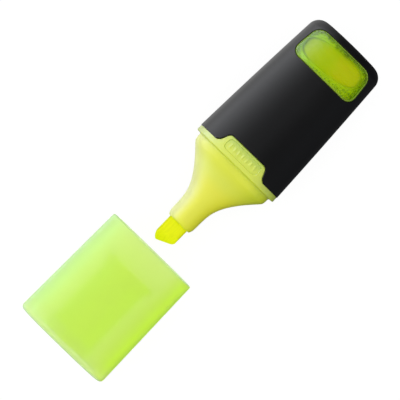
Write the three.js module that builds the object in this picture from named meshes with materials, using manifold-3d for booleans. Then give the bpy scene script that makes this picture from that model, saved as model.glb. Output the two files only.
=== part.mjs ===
// A capped chisel-tip highlighter with a liquid-ink tank, built as its separate moulded pieces.
// Units are millimetres. The pen lies on one broad face: +X runs from the nib (front) to the rear
// of the barrel, +Y across the width, +Z up through the thickness. The cap is pulled off and lies
// in front of the nib, on the same axis.
import * as THREE from "three";
import { mergeVertices } from "three/addons/utils/BufferGeometryUtils.js";
import Module from "manifold-3d";

const wasm = await Module();
wasm.setup();

// ---------------------------------------------------------------- shared dimensions
const SECTION_SEGMENTS = 40; // facets round an oblong section
const HALF_T = 8.2; // half thickness of the crowned barrel and cap sections
const FLAT = 0.1; // shaved off each crowned broad face, so that the pen has a flat to lie on
const POWER = 2.5; // superellipse exponent of the barrel and cap sections

const BARREL_END = 39.45; // rear end of the sleeve; its front rim is at x = 0
const SLEEVE_WALL = 1.2; // sides and rear end
const END_R = 3.0; // edge radius round the rear end
const END_CROWN = 0.3; // bulge of the rear face
const barrelHalf = (x) => 12.88 - 0.0375 * x - 0.00033 * x * x; // half width
const FIT_GAP = 0.15; // round whatever fits the sleeve's bore, rim notch and windows
const BORE_INSET = SLEEVE_WALL + FIT_GAP; // from the sleeve's face to the parts in its bore

const WINDOW = {
  front: { x: 28.0, half: 9.48, radius: 2.1 },
  rear: { x: 37.17, half: 9.14, radius: 2.95 },
};

// Half of the notch in the sleeve's rim that the grip tab fills: x, half width.
const NOTCH = [
  [-3.0, 8.3], [0.0, 8.12], [0.12, 7.88], [0.38, 7.52], [0.85, 7.0], [1.4, 6.74],
  [2.0, 6.48], [2.6, 6.22], [2.95, 6.0], [3.2, 5.65], [3.33, 5.3], [3.37, 4.9],
];

// ---------------------------------------------------------------- shape helpers
// One ring of an oblong section across the axis, its broad faces cut flat at z = +-flat.
function ring(
  x, halfWidth, halfThickness, power, flat = halfThickness, segments = SECTION_SEGMENTS,
) {
  const points = [];
  for (let i = 0; i < segments; i++) {
    const angle = (2 * Math.PI * i) / segments;
    const cos = Math.cos(angle);
    const sin = Math.sin(angle);
    const y = halfWidth * Math.sign(cos) * Math.abs(cos) ** (2 / power);
    const z = halfThickness * Math.sign(sin) * Math.abs(sin) ** (2 / power);
    points.push(new THREE.Vector3(x, y, THREE.MathUtils.clamp(z, -flat, flat)));
  }
  return points;
}

// Makes a manifold from a geometry, welding its seams.
function solid(geometry) {
  geometry.deleteAttribute("normal");
  geometry.deleteAttribute("uv");
  const merged = mergeVertices(geometry, 1e-5);
  return new wasm.Manifold(
    new wasm.Mesh({
      numProp: 3,
      vertProperties: new Float32Array(merged.attributes.position.array),
      triVerts: new Uint32Array(merged.index.array),
    }),
  );
}

// A closed solid skinned over rings that run along +X, each end closed by a fan.
function loft(rings) {
  const count = rings[0].length;
  const centre = (points) =>
    points.reduce((sum, point) => sum.add(point), new THREE.Vector3()).divideScalar(count);
  const vertices = [...rings.flat(), centre(rings[0]), centre(rings.at(-1))];
  const frontCentre = rings.length * count;
  const lastRing = frontCentre - count;
  const index = [];
  for (let j = 0; j + 1 < rings.length; j++)
    for (let i = 0; i < count; i++) {
      const here = j * count + i;
      const next = j * count + ((i + 1) % count);
      index.push(here, next, here + count, next, next + count, here + count);
    }
  for (let i = 0; i < count; i++) {
    const next = (i + 1) % count;
    index.push(frontCentre, next, i);
    index.push(frontCentre + 1, lastRing + i, lastRing + next);
  }
  const geometry = new THREE.BufferGeometry().setFromPoints(vertices);
  geometry.setIndex(index);
  return solid(geometry);
}

// A ring of the barrel and cap section, drawn in by `inset`.
const insetRing = (x, halfWidth, inset) =>
  ring(x, halfWidth - inset, HALF_T - inset, POWER, HALF_T - FLAT - inset);
const barrelRing = (x, inset) => insetRing(x, barrelHalf(x), inset);

// A barrel-shaped solid, with an optional rounded rear edge and crowned rear end.
function barrelSolid(front, rear, inset, { radius = 0, crown = 0, stations = 3 } = {}) {
  const rings = [];
  const straight = rear - crown - radius;
  for (let i = 0; i <= stations; i++)
    rings.push(barrelRing(front + ((straight - front) * i) / stations, inset));
  if (radius > 0)
    for (const degrees of [25, 50, 72, 90]) {
      const angle = THREE.MathUtils.degToRad(degrees);
      const x = straight + radius * Math.sin(angle);
      rings.push(barrelRing(x, inset + radius * (1 - Math.cos(angle))));
    }
  if (crown > 0) {
    const halfWidth = barrelHalf(rear) - inset - radius;
    const halfThickness = HALF_T - inset - radius;
    for (const scale of [0.62, 0.2]) {
      const x = rear - crown * scale * scale;
      rings.push(ring(x, halfWidth * scale, halfThickness * scale, POWER));
    }
  }
  return loft(rings);
}

// Barrel-shaped solids skinned over only two or three rings.
const shortBarrel = (front, rear, inset) => barrelSolid(front, rear, inset, { stations: 1 });
const midBarrel = (front, rear, inset) => barrelSolid(front, rear, inset, { stations: 2 });

// Closes a half outline by its mirror image in the second coordinate.
const mirrored = (half) => [...half, ...half.map(([x, y]) => [x, -y]).reverse()];

function extruded(points, depth) {
  const shape = new THREE.Shape(points.map(([x, y]) => new THREE.Vector2(x, y)));
  const geometry = new THREE.ExtrudeGeometry(shape, { depth, bevelEnabled: false });
  return geometry.translate(0, 0, -depth / 2);
}

// A prism through the whole thickness, from a closed outline in X and Y.
const prism = (points) => solid(extruded(points, 24));

function box([x0, x1], [y0, y1], [z0, z1]) {
  const geometry = new THREE.BoxGeometry(x1 - x0, y1 - y0, z1 - z0);
  return solid(geometry.translate((x0 + x1) / 2, (y0 + y1) / 2, (z0 + z1) / 2));
}

function cylinderX(front, rear, radius, segments, y = 0) {
  const geometry = new THREE.CylinderGeometry(radius, radius, rear - front, segments);
  geometry.rotateZ(-Math.PI / 2);
  return solid(geometry.translate((front + rear) / 2, y, 0));
}

// A body of revolution about the X axis from a profile of [radius, x] points.
function turned(profile, segments) {
  const points = profile.map(([radius, x]) => new THREE.Vector2(radius, x));
  return solid(new THREE.LatheGeometry(points, segments).rotateZ(-Math.PI / 2));
}

// Outline of the window, and of the boss that fills it when drawn in by `gap`.
function windowOutline(gap) {
  const { front, rear } = WINDOW;
  const half = [];
  const corner = (x, y, radius, from, to) => {
    for (let i = 0; i <= 4; i++) {
      const angle = THREE.MathUtils.degToRad(from + ((to - from) * i) / 4);
      half.push([x + radius * Math.cos(angle), y + radius * Math.sin(angle)]);
    }
  };
  corner(rear.x - rear.radius, rear.half - rear.radius, rear.radius - gap, 0, 88);
  corner(front.x + front.radius, front.half - front.radius, front.radius - gap, 88, 180);
  return mirrored(half);
}

// Outline of the rim notch, and of the tab that fills it when drawn in by `gap`.
const notchOutline = (gap) =>
  mirrored(NOTCH.map(([x, half]) => [x - (x > 1 ? gap : 0), half - gap]));

// ---------------------------------------------------------------- barrel sleeve
// Snap ribs on the skirt sit in grooves inside the sleeve, both limited to |z| < half.
const GROOVE = { front: 5.0, rear: 6.2, inset: 0.85, half: 3.3 };
const SNAP_RIB = { front: 5.2, rear: 6.0, inset: 1.0, half: 3.0 };

const snapBand = ({ front, rear, inset, half }) =>
  shortBarrel(front, rear, inset).intersect(box([4, 7], [-20, 20], [-half, half]));

function barrelSleeve() {
  return barrelSolid(0, BARREL_END, 0, { radius: END_R, crown: END_CROWN })
    .subtract(barrelSolid(-1, BARREL_END - SLEEVE_WALL, SLEEVE_WALL, { radius: 2.0 }))
    .subtract(prism(notchOutline(0)))
    .subtract(prism(windowOutline(0)))
    .subtract(snapBand(GROOVE));
}

// ---------------------------------------------------------------- nib
const NIB = { half: [2.8, 1.8], power: 3.5, back: -8.6, segments: 28 }; // half: width, thickness
const EDGE_THICKNESS = 0.95; // at the slanted writing edge
const EDGE_START = [-27.62, 1.06]; // ends of the writing edge: x, y
const EDGE_END = [-26.16, -2.1];

// The nib seen on its broad face: x, y.
const NIB_OUTLINE = [
  [NIB.back, -3.4], [NIB.back, 3.4], [-24.9, 3.4], [-25.6, 2.88], [-26.3, 2.66],
  [-26.9, 2.38], [-27.35, 2.02], [-27.66, 1.66], [-27.72, 1.38], EDGE_START,
  EDGE_END, [-25.86, -2.5], [-25.5, -2.74], [-25.1, -2.85], [-24.6, -3.4],
];
// Half profile of the chisel wedge: distance behind the writing edge, z.
const WEDGE = [[-1, -0.28], [0, -EDGE_THICKNESS / 2], [3.1, -1.9], [30, -1.9]];

// The chisel wedge, its profile swept along the slanted writing edge.
function nibWedge() {
  const along = new THREE.Vector3(EDGE_END[0] - EDGE_START[0], EDGE_END[1] - EDGE_START[1], 0);
  along.normalize();
  const inward = new THREE.Vector3(-along.y, along.x, 0);
  const up = new THREE.Vector3(0, 0, 1);
  const geometry = extruded(mirrored(WEDGE), 30);
  geometry.applyMatrix4(new THREE.Matrix4().makeBasis(inward, up, along));
  return solid(geometry.translate(...EDGE_START, 0));
}

function nib() {
  const [halfWidth, halfThickness] = NIB.half;
  const wickHole = cylinderX(-11.6, -8, 0.9, 16);
  const nibRing = (x) =>
    ring(x, halfWidth, halfThickness, NIB.power, halfThickness, NIB.segments);
  return loft([-29, NIB.back].map(nibRing))
    .intersect(prism(NIB_OUTLINE))
    .intersect(nibWedge())
    .subtract(wickHole);
}

// ---------------------------------------------------------------- front section
// Outside of the nose from its mouth to the land that the cap slides on: x, half width.
const NOSE = [
  [-21.1, 3.3], [-20.6, 3.55], [-20.1, 3.72], [-19.4, 3.8], [-17.5, 3.83], [-15.8, 3.93],
  [-14.5, 4.1], [-13.4, 4.38], [-12.2, 4.84], [-11.0, 5.42], [-9.8, 6.16], [-8.6, 7.0],
  [-7.4, 7.92], [-6.2, 8.95], [-5.0, 10.03], [-4.1, 10.87], [-3.6, 11.26], [-3.1, 11.45],
];
// Hollow behind the nib socket: x, half width, half thickness, power, flat.
const CAVITY = [
  [-8.1, 5.6, 3.8, 2.2],
  [-7.0, 6.9, 4.4, 2.3],
  [-5.0, 8.8, 5.1, 2.4],
  [-3.0, 10.26, 5.6, POWER],
  [0, 10.46, 5.85, POWER, 5.75],
  [8, 10.21, 5.85, POWER, 5.75],
];
// Half outline of the panel sunk into each tab: x, half width.
const PANEL = [
  [-0.3, 4.0], [-0.15, 4.5], [0.2, 4.95], [0.7, 5.15], [1.7, 5.15], [2.2, 5.05],
  [2.5, 4.75], [2.62, 4.3],
];
const TUBE_R = 3.8; // round tube at the front of the nose
const LAND = { halfWidth: 11.52, halfThickness: 6.8 };
const SOCKET_GAP = 0.05; // round the nib
const COLLAR_FRONT = -1.5;
const COLLAR_INSET = 0.14; // the collar and tabs stand this far inside the sleeve's face
const JOIN_X = -0.3; // the tabs and skirt start inside the collar
const SKIRT_END = 7.3;
const PANEL_INSET = COLLAR_INSET + 0.22;
const PANEL_RIB = { front: 0.45, rear: 2.0, pitch: 1.3, half: 0.2, inset: COLLAR_INSET + 0.1 };

// The nose turns from a round tube into the oblong land as it widens.
function nose() {
  const rings = NOSE.map(([x, halfWidth]) => {
    const blend = Math.max(0, (halfWidth - TUBE_R) / (LAND.halfWidth - TUBE_R));
    const halfThickness =
      Math.min(halfWidth, TUBE_R) + (LAND.halfThickness - TUBE_R) * blend;
    const power = 2 + (POWER - 2) * blend;
    return ring(x, halfWidth, halfThickness, power, halfThickness - FLAT * blend);
  });
  const { halfWidth, halfThickness } = LAND;
  rings.push(ring(COLLAR_FRONT + 0.1, halfWidth, halfThickness, POWER, halfThickness - FLAT));
  return loft(rings);
}

function collar() {
  return loft([
    barrelRing(COLLAR_FRONT, COLLAR_INSET + 0.2),
    barrelRing(COLLAR_FRONT + 0.2, COLLAR_INSET),
    barrelRing(-0.1, COLLAR_INSET),
  ]);
}

function frontSection() {
  const tabs = midBarrel(JOIN_X, 3.3, COLLAR_INSET).intersect(prism(notchOutline(FIT_GAP)));
  const panels = prism(mirrored(PANEL)).subtract(midBarrel(-2, 5, PANEL_INSET));
  const [halfWidth, halfThickness] = NIB.half.map((half) => half + SOCKET_GAP);
  const nibSocket = loft(
    [-21.5, -7.5].map((x) => ring(x, halfWidth, halfThickness, NIB.power)),
  );
  let body = nose()
    .add(collar())
    .add(tabs)
    .add(midBarrel(JOIN_X, SKIRT_END, BORE_INSET))
    .add(snapBand(SNAP_RIB))
    .subtract(panels)
    .subtract(nibSocket)
    .subtract(loft(CAVITY.map((row) => ring(...row))));

  // Short ribs across each panel, rooted below its floor.
  const { front, rear, pitch, half, inset } = PANEL_RIB;
  const ribBand = midBarrel(-2, 5, inset).subtract(midBarrel(-2.5, 5.5, PANEL_INSET + 0.2));
  for (let i = -3; i <= 3; i++) {
    const y = i * pitch;
    body = body.add(ribBand.intersect(box([front, rear], [y - half, y + half], [-9, 9])));
  }
  return body;
}

// ---------------------------------------------------------------- ink tank
const TANK = { back: 37.7, wall: 0.6, shoulder: 8.0, neckFront: 3.95 };
const TANK_BORE = {
  front: TANK.shoulder + TANK.wall,
  rear: TANK.back - TANK.wall,
  inset: BORE_INSET + TANK.wall,
  radius: 0.9,
};
const BOSS_SINK = 0.06; // the window bosses stand this far below the sleeve's face

function inkTank() {
  const { front, rear, inset, radius } = TANK_BORE;
  const bossFace = barrelSolid(20, BARREL_END - BOSS_SINK, BOSS_SINK, {
    radius: END_R,
    crown: END_CROWN,
    stations: 4,
  });
  const neck = shortBarrel(TANK.neckFront, TANK.shoulder + 0.5, 3.15);
  const neckRim = shortBarrel(TANK.neckFront, 4.7, 2.5);
  const neckBore = shortBarrel(3, TANK.shoulder + 1.2, 4.05);
  const fillerHole = cylinderX(36, 39, 1.5, 20);
  return barrelSolid(TANK.shoulder, TANK.back, BORE_INSET, { radius: 1.8 })
    .add(prism(windowOutline(FIT_GAP)).intersect(bossFace))
    .add(neck)
    .add(neckRim)
    .subtract(barrelSolid(front, rear, inset, { radius }))
    .subtract(neckBore)
    .subtract(fillerHole);
}

// ---------------------------------------------------------------- ink, with its air bubble
const INK_GAP = 0.1; // between the ink and the tank's walls
const BUBBLE = { halfSize: [3.6, 8.2, 2.0], turn: 0.12, x: 33.0, y: 0.55 };

function inkCharge() {
  // The bubble's top touches the level of the pen's upper flat.
  const bubble = new THREE.SphereGeometry(1, 20, 12);
  bubble.scale(...BUBBLE.halfSize);
  bubble.rotateZ(BUBBLE.turn);
  bubble.translate(BUBBLE.x, BUBBLE.y, HALF_T - FLAT - BUBBLE.halfSize[2]);
  const { front, rear, inset, radius } = TANK_BORE;
  const wickRoom = cylinderX(8, 14.3, 1.65, 20);
  const plugRoom = cylinderX(36.2, 38, 1.6, 20);
  return barrelSolid(front + INK_GAP, rear - INK_GAP, inset + INK_GAP, {
    radius: radius - INK_GAP,
    stations: 4,
  })
    .subtract(solid(bubble))
    .subtract(wickRoom)
    .subtract(plugRoom);
}

// ---------------------------------------------------------------- seal, stopper, feed, plug
// Outside and inside of the seal: x, inset from the barrel's face.
const SEAL_OUTSIDE = [[5.0, 2.6], [5.25, 2.42], [6.15, 2.42], [6.4, 2.6]];
const SEAL_INSIDE = [[4.9, 2.86], [5.2, 3.08], [6.2, 3.08], [6.5, 2.86]];

function tankSeal() {
  const [outside, inside] = [SEAL_OUTSIDE, SEAL_INSIDE].map((rows) =>
    loft(rows.map(([x, inset]) => barrelRing(x, inset))),
  );
  return outside.subtract(inside);
}

const SIDE_HOLE_Y = 4.2;

function tankStopper() {
  // The rear is hollowed out, leaving a tube round each hole.
  const hollow = shortBarrel(4.6, 7.5, 4.93)
    .subtract(cylinderX(4, 8, 2.6, 20))
    .subtract(cylinderX(4, 8, 1.2, 12, SIDE_HOLE_Y));
  const flange = shortBarrel(3.0, 3.85, 2.6);
  return flange
    .add(shortBarrel(3.5, 7.0, 4.13))
    .subtract(cylinderX(2.5, 7.5, 1.6, 20))
    .subtract(cylinderX(2.5, 7.5, 0.5, 10, SIDE_HOLE_Y))
    .subtract(hollow);
}

const BUFFER = { bore: 1.6, core: 2.3, front: -7.0, flange: 4.9, flangeFront: 1.9, rear: 2.7 };
const FIN = { count: 7, x: -6.3, pitch: 1.1, thickness: 0.5, frontRadius: 3.9, radius: 4.2 };

// A comb of round fins with a slot cut through them along the upper side.
function feedBuffer() {
  const { bore, core, front, flange, flangeFront, rear } = BUFFER;
  const profile = [[bore, rear], [bore, front], [core, front]];
  for (let i = 0; i < FIN.count; i++) {
    const x = FIN.x + i * FIN.pitch;
    const finRear = x + FIN.thickness;
    const radius = i === 0 ? FIN.frontRadius : FIN.radius;
    profile.push([core, x], [radius, x], [radius, finRear], [core, finRear]);
  }
  profile.push([core, flangeFront], [flange, flangeFront], [flange, rear], [bore, rear]);
  return turned(profile, 20).subtract(box([-7.5, 3], [-0.25, 0.25], [2.0, 6]));
}

const WICK_R = 1.5;
const WICK_TIP_R = 0.8;
// Turned profiles: radius, x.
const WICK = [
  [0, -11.2], [0.6, -11.2], [WICK_TIP_R, -10.9], [WICK_TIP_R, -8.3],
  [WICK_R, -8.05], [WICK_R, 13.5], [1.1, 14.0], [0, 14.0],
];
const PLUG = [
  [0, 36.3], [1.2, 36.3], [1.44, 36.6], [1.44, 37.75],
  [2.4, 37.75], [2.4, 37.95], [2.2, 38.12], [0, 38.12],
];

// ---------------------------------------------------------------- cap, its mouth at x = 0
const CAP_MOUTH = -30.27; // the mouth of the pulled-off cap in the pen's frame
const CAP_END = -32.15; // closed front end
const CAP_WALL = 1.25;
const CAP_FLOOR = CAP_END + 1.4; // inner face of the end wall
const CAP_HALF = { mouth: 12.94, end: 13.55 }; // outer half widths

const capRing = (x, inset) =>
  insetRing(x, CAP_HALF.mouth + ((CAP_HALF.end - CAP_HALF.mouth) * x) / CAP_END, inset);

const LINER_R = 6.2;
const LINER_BORE_R = LINER_R - 0.8;
const LINER_FRONT = CAP_FLOOR + 0.13;
const LINER_FLOOR = LINER_FRONT + 0.95;
const LIP_R = 3.94; // the sealing lip's hole, which closes round the nose tube

function capShell() {
  const outside = loft([
    ring(CAP_END, 5.0, 2.6, POWER),
    capRing(CAP_END + 0.1, 1.9),
    capRing(CAP_END + 0.2, 0.85),
    capRing(CAP_END + 0.48, 0.3),
    capRing(CAP_END + 1.0, 0.02),
    capRing(CAP_END / 2, 0),
    capRing(-0.35, 0),
    capRing(-0.08, 0.12),
    capRing(0, 0.4),
  ]);
  const inside = loft([
    capRing(CAP_FLOOR, CAP_WALL + 0.7),
    capRing(CAP_FLOOR + 0.7, CAP_WALL),
    capRing(CAP_END / 2, CAP_WALL),
    capRing(1, CAP_WALL),
  ]);
  // A ring on the end wall that holds the liner, kept within the cap's walls.
  const socketFront = CAP_END + 0.8;
  const socket = cylinderX(socketFront, CAP_END + 4.4, 7.2, 36)
    .intersect(loft([capRing(socketFront, 0.6), capRing(-20, 0.6)]))
    .subtract(cylinderX(CAP_FLOOR, -20, LINER_R + 0.1, 36));
  return outside.subtract(inside).add(socket);
}

// A round cup that flares into an oblong at its open rear.
function capLiner() {
  const outside = loft([
    ring(LINER_FRONT, LINER_R - 0.3, LINER_R - 0.3, 2),
    ring(LINER_FRONT + 0.3, LINER_R, LINER_R, 2),
    ring(-9.9, LINER_R, LINER_R, 2),
    ring(-8.6, 6.9, 6.4, 2.1),
    ring(-7.3, 7.75, 6.65, 2.3),
  ]);
  const boreProfile = [
    [0, LINER_FLOOR], [LINER_BORE_R, LINER_FLOOR], [LINER_BORE_R, -17.6], [LIP_R, -17.2],
    [LIP_R, -16.6], [LINER_BORE_R, -15.6], [LINER_BORE_R, -9.8], [0, -9.8],
  ];
  const flare = loft([
    ring(-10.0, LINER_BORE_R, LINER_BORE_R, 2),
    ring(-8.6, 6.2, 5.75, 2.1),
    ring(-7.2, 7.15, 5.98, 2.3),
  ]);
  return outside.subtract(turned(boreProfile, 40)).subtract(flare);
}

// ---------------------------------------------------------------- materials
const plastic = (options) => new THREE.MeshStandardMaterial({ metalness: 0, ...options });
const clear = (options) => plastic({ transparent: true, ...options });
const blackPlastic = plastic({ color: 0x1b1b1d, roughness: 0.45 });
const limePlastic = plastic({ color: 0xdbe35a, roughness: 0.5 });
const capPlastic = clear({ color: 0xc0ee5c, roughness: 0.45, opacity: 0.85 });
const linerPlastic = clear({ color: 0xbdea5e, roughness: 0.55, opacity: 0.85 });
const nibFelt = plastic({ color: 0xe4ee08, roughness: 0.9 });
const tankPlastic = clear({ color: 0xdcf0b0, roughness: 0.12, opacity: 0.35 });
const inkDye = clear({ color: 0x9dbb06, roughness: 0.1, opacity: 0.85 });
const naturalPlastic = plastic({ color: 0xeeeee6, roughness: 0.5 });
const wickFibre = plastic({ color: 0xdfe83a, roughness: 0.9 });
const sealRubber = plastic({ color: 0x3a3a3c, roughness: 0.8 });

// ---------------------------------------------------------------- scene graph
function mesh(name, manifold, material) {
  const { vertProperties, triVerts } = manifold.getMesh();
  const geometry = new THREE.BufferGeometry();
  const positions = new THREE.BufferAttribute(new Float32Array(vertProperties), 3);
  geometry.setAttribute("position", positions);
  geometry.setIndex(new THREE.BufferAttribute(new Uint32Array(triVerts), 1));
  geometry.computeVertexNormals();
  const made = new THREE.Mesh(geometry, material);
  made.name = name;
  return made;
}

const pen = new THREE.Group();
pen.add(
  mesh("barrel_sleeve", barrelSleeve(), blackPlastic),
  mesh("front_section", frontSection(), limePlastic),
  mesh("nib", nib(), nibFelt),
  mesh("ink_tank", inkTank(), tankPlastic),
  mesh("ink_charge", inkCharge(), inkDye),
  mesh("tank_seal", tankSeal(), sealRubber),
  mesh("tank_stopper", tankStopper(), naturalPlastic),
  mesh("feed_buffer", feedBuffer(), naturalPlastic),
  mesh("feed_wick", turned(WICK, 20), wickFibre),
  mesh("filler_plug", turned(PLUG, 20), naturalPlastic),
);

const cap = new THREE.Group();
cap.position.x = CAP_MOUTH;
cap.add(
  mesh("cap_shell", capShell(), capPlastic),
  mesh("cap_liner", capLiner(), linerPlastic),
);

// The origin is under the middle of the assembly, on the plane it lies on.
const highlighter = new THREE.Group();
const assembly = new THREE.Group();
assembly.position.set(-(CAP_MOUTH + CAP_END + BARREL_END) / 2, 0, HALF_T - FLAT);
assembly.add(pen, cap);
highlighter.add(assembly);

export default highlighter;
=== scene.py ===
"""Looks for a capped liquid-ink highlighter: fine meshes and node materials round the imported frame.

Shapes are worked out in millimetres in the pen's own frame: x = 0 at the barrel sleeve's front rim,
+x to the rear (the nib and cap lie at -x), y across the width, z up from the middle of the
thickness. place() moves them to the row frame, in metres. "Inset" is how far a section is drawn in.
"""

import math

import bmesh
import bpy
import numpy as np
from mathutils import Matrix, Vector


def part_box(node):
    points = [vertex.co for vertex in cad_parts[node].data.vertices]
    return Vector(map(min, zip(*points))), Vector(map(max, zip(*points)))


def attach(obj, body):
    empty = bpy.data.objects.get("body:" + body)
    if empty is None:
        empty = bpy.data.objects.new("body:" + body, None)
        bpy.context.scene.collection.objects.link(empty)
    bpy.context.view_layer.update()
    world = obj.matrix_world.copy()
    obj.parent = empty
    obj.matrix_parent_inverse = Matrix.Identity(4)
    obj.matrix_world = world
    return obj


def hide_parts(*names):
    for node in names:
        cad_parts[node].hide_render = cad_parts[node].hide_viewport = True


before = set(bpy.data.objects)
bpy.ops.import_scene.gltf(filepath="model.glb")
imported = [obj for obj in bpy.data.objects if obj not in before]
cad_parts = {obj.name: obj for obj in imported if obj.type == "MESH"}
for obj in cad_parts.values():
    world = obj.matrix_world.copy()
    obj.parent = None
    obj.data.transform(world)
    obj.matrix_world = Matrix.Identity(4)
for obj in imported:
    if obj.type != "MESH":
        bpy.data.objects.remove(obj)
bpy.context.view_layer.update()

scene = bpy.context.scene
scene.view_settings.view_transform = "Standard"
scene.view_settings.look = "None"
scene.view_settings.exposure = 0.0
scene.view_settings.gamma = 1.0
scene.cycles.transparent_max_bounces = 32  # the cap and its liner are several clear walls deep

# ------------------------------------------------------------------ shared dimensions, mm
SHIFT_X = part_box("barrel_sleeve")[0].x * 1000.0
HALF_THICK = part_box("barrel_sleeve")[1].z * 500.0
POWER = 2.5  # exponent of the oblong sections; 2 is an ellipse
SEG = 224  # points round a section

BARREL_END, END_RADIUS, END_CROWN = 39.45, 3.0, 0.3
STRAIGHT = BARREL_END - END_CROWN - END_RADIUS  # where the rear rounding begins
SLEEVE_WALL, SLEEVE_END_WALL = 1.2, 1.2
FIT_GAP = 0.15  # between the sleeve's openings and what fills them

COLLAR_FRONT, COLLAR_INSET = -1.5, 0.14
SKIRT_INSET, SKIRT_END = 1.35, 7.3
NIB_Y, NIB_Z, NIB_POWER = 2.8, 1.8, 3.5  # half width, half thickness, exponent

TANK_INSET, TANK_WALL, TANK_BACK, TANK_ROUND = 1.35, 0.6, 37.7, 1.8
TANK_INSIDE = TANK_INSET + TANK_WALL
INK_INSET = 2.05

CAP_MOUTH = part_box("cap_shell")[1].x * 1000.0 - SHIFT_X
CAP_LENGTH, CAP_WALL, CAP_END_WALL = 32.15, 1.25, 1.4
CAP_CLOSED = CAP_MOUTH - CAP_LENGTH
LINER_RADIUS, LINER_WALL, LINER_LIP = 6.2, 0.8, 3.94


def half_width(x):
    """The barrel's half width, which narrows in a slight curve to the rear."""
    return 12.88 - 0.0375 * x - 0.00033 * x * x


def corner_inset(x):
    """How far the rear rounding has drawn the barrel's section in at x."""
    s = np.clip((np.asarray(x, float) - STRAIGHT) / END_RADIUS, 0, 0.9999)
    return END_RADIUS * (1 - np.sqrt(1 - s * s))


def arch(y, half_y, half_z):
    """Height at y of an oblong section."""
    return half_z * (1 - np.clip(np.abs(y) / half_y, 0, 0.9999) ** POWER) ** (1 / POWER)


def barrel_z(x, y, inset=0.0):
    """Height of the barrel's broad face over (x, y)."""
    corner = corner_inset(x)
    half_y = half_width(np.asarray(x, float)) - corner - inset
    return arch(y, half_y, HALF_THICK - corner - inset)


def pen_x(x):
    """A place along the pen in the row frame, in metres."""
    return (SHIFT_X + x) / 1000


# ------------------------------------------------------------------ curves
def smoothstep(value):
    value = np.clip(value, 0, 1)
    return value * value * (3 - 2 * value)


def rise(value, middle, width):
    """A soft step from 0 to 1, or from 1 to 0 for a negative width."""
    return 1 / (1 + np.exp(-(value - middle) / width))


def bell(value, middle, width):
    return np.exp(-(((value - middle) / width) ** 2))


def arc(start, stop, count):
    """(sin, 1 - cos) at equal steps between two angles in degrees: the steps of a round."""
    angles = map(math.radians, np.linspace(start, stop, count))
    return [(math.sin(t), 1 - math.cos(t)) for t in angles]


def pchip(xs, ys, at):
    """Monotone cubic through measured points."""
    xs, ys, at = (np.asarray(values, float) for values in (xs, ys, at))
    step = np.diff(xs)
    slope = np.diff(ys) / step
    tangent = np.zeros(len(xs))
    tangent[0], tangent[-1] = slope[0], slope[-1]
    for i in range(1, len(xs) - 1):
        if slope[i - 1] * slope[i] > 0:
            before, after = 2 * step[i] + step[i - 1], step[i] + 2 * step[i - 1]
            tangent[i] = (before + after) / (before / slope[i - 1] + after / slope[i])
    k = np.clip(np.searchsorted(xs, at) - 1, 0, len(xs) - 2)
    t = (at - xs[k]) / step[k]
    return (
        (1 + 2 * t) * (1 - t) ** 2 * ys[k]
        + t * (1 - t) ** 2 * step[k] * tangent[k]
        + t * t * (3 - 2 * t) * ys[k + 1]
        + t * t * (t - 1) * step[k] * tangent[k + 1]
    )


# ------------------------------------------------------------------ sections across the pen
def contour(half_y, half_z, power=POWER, seg=SEG):
    """An oblong section as equally spaced points (y, z), starting at (half_y, 0)."""
    t = np.linspace(0, math.pi / 2, 700)
    # the samples crowd towards both ends of the quarter, where the curve turns fastest
    t = t * 0.5 + (np.sin(t * 2 - math.pi / 2) + 1) * math.pi / 8
    y = half_y * np.cos(t) ** (2 / power)
    z = half_z * np.sin(t) ** (2 / power)
    y[-1], z[0] = 0.0, 0.0
    y = np.concatenate([y, -y[::-1][1:], -y[1:], y[::-1][1:]])
    z = np.concatenate([z, z[::-1][1:], -z[1:], -z[::-1][1:]])
    length = np.concatenate([[0], np.cumsum(np.hypot(np.diff(y), np.diff(z)))])
    at = np.linspace(0, length[-1], seg, endpoint=False)
    return np.stack([np.interp(at, length, y), np.interp(at, length, z)], 1)


def at_x(x, points):
    return np.column_stack([np.full(len(points), x), points])


def section(x, half_y, half_z, power=POWER, seg=SEG):
    return at_x(x, contour(half_y, half_z, power, seg))


def plain_section(x, inset, seg=SEG):
    """The barrel's section without the rear rounding."""
    return section(x, half_width(x) - inset, HALF_THICK - inset, POWER, seg)


def barrel_section(x, inset):
    corner = float(corner_inset(x))
    return section(x, half_width(x) - corner - inset, HALF_THICK - corner - inset)


def end_scales(count):
    """Sizes of the rings over a closed end, from near its middle outwards."""
    return np.concatenate([[0.03], np.linspace(0.12, 0.97, count)])


# ------------------------------------------------------------------ mesh helpers
def skin(rings, closed=False):
    """Vertices and faces through rings. closed joins last to first; else each end gets a centre."""
    n, m = len(rings[0]), len(rings)
    verts = np.concatenate(rings).tolist()
    faces = []
    for j in range(m if closed else m - 1):
        k = (j + 1) % m
        for i in range(n):
            i2 = (i + 1) % n
            faces.append((j * n + i, j * n + i2, k * n + i2, k * n + i))
    if not closed:
        verts.append(np.mean(rings[0], 0).tolist())
        verts.append(np.mean(rings[-1], 0).tolist())
        for i in range(n):
            i2 = (i + 1) % n
            faces.append((m * n, i2, i))
            faces.append((m * n + 1, (m - 1) * n + i, (m - 1) * n + i2))
    return verts, faces


def link(name, mesh):
    ob = bpy.data.objects.new(name, mesh)
    scene.collection.objects.link(ob)
    return ob


def build(name, verts, faces):
    """A mesh object with its doubles merged and its normals outward."""
    mesh = bpy.data.meshes.new(name)
    mesh.from_pydata(verts, [], faces)
    bm = bmesh.new()
    bm.from_mesh(mesh)
    bmesh.ops.remove_doubles(bm, verts=bm.verts, dist=1e-5)
    bmesh.ops.recalc_face_normals(bm, faces=bm.faces)
    if bm.calc_volume(signed=True) < 0:
        bmesh.ops.reverse_faces(bm, faces=bm.faces)
    bm.to_mesh(mesh)
    bm.free()
    return link(name, mesh)


def from_rings(name, rings, closed=False):
    return build(name, *skin(rings, closed))


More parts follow.
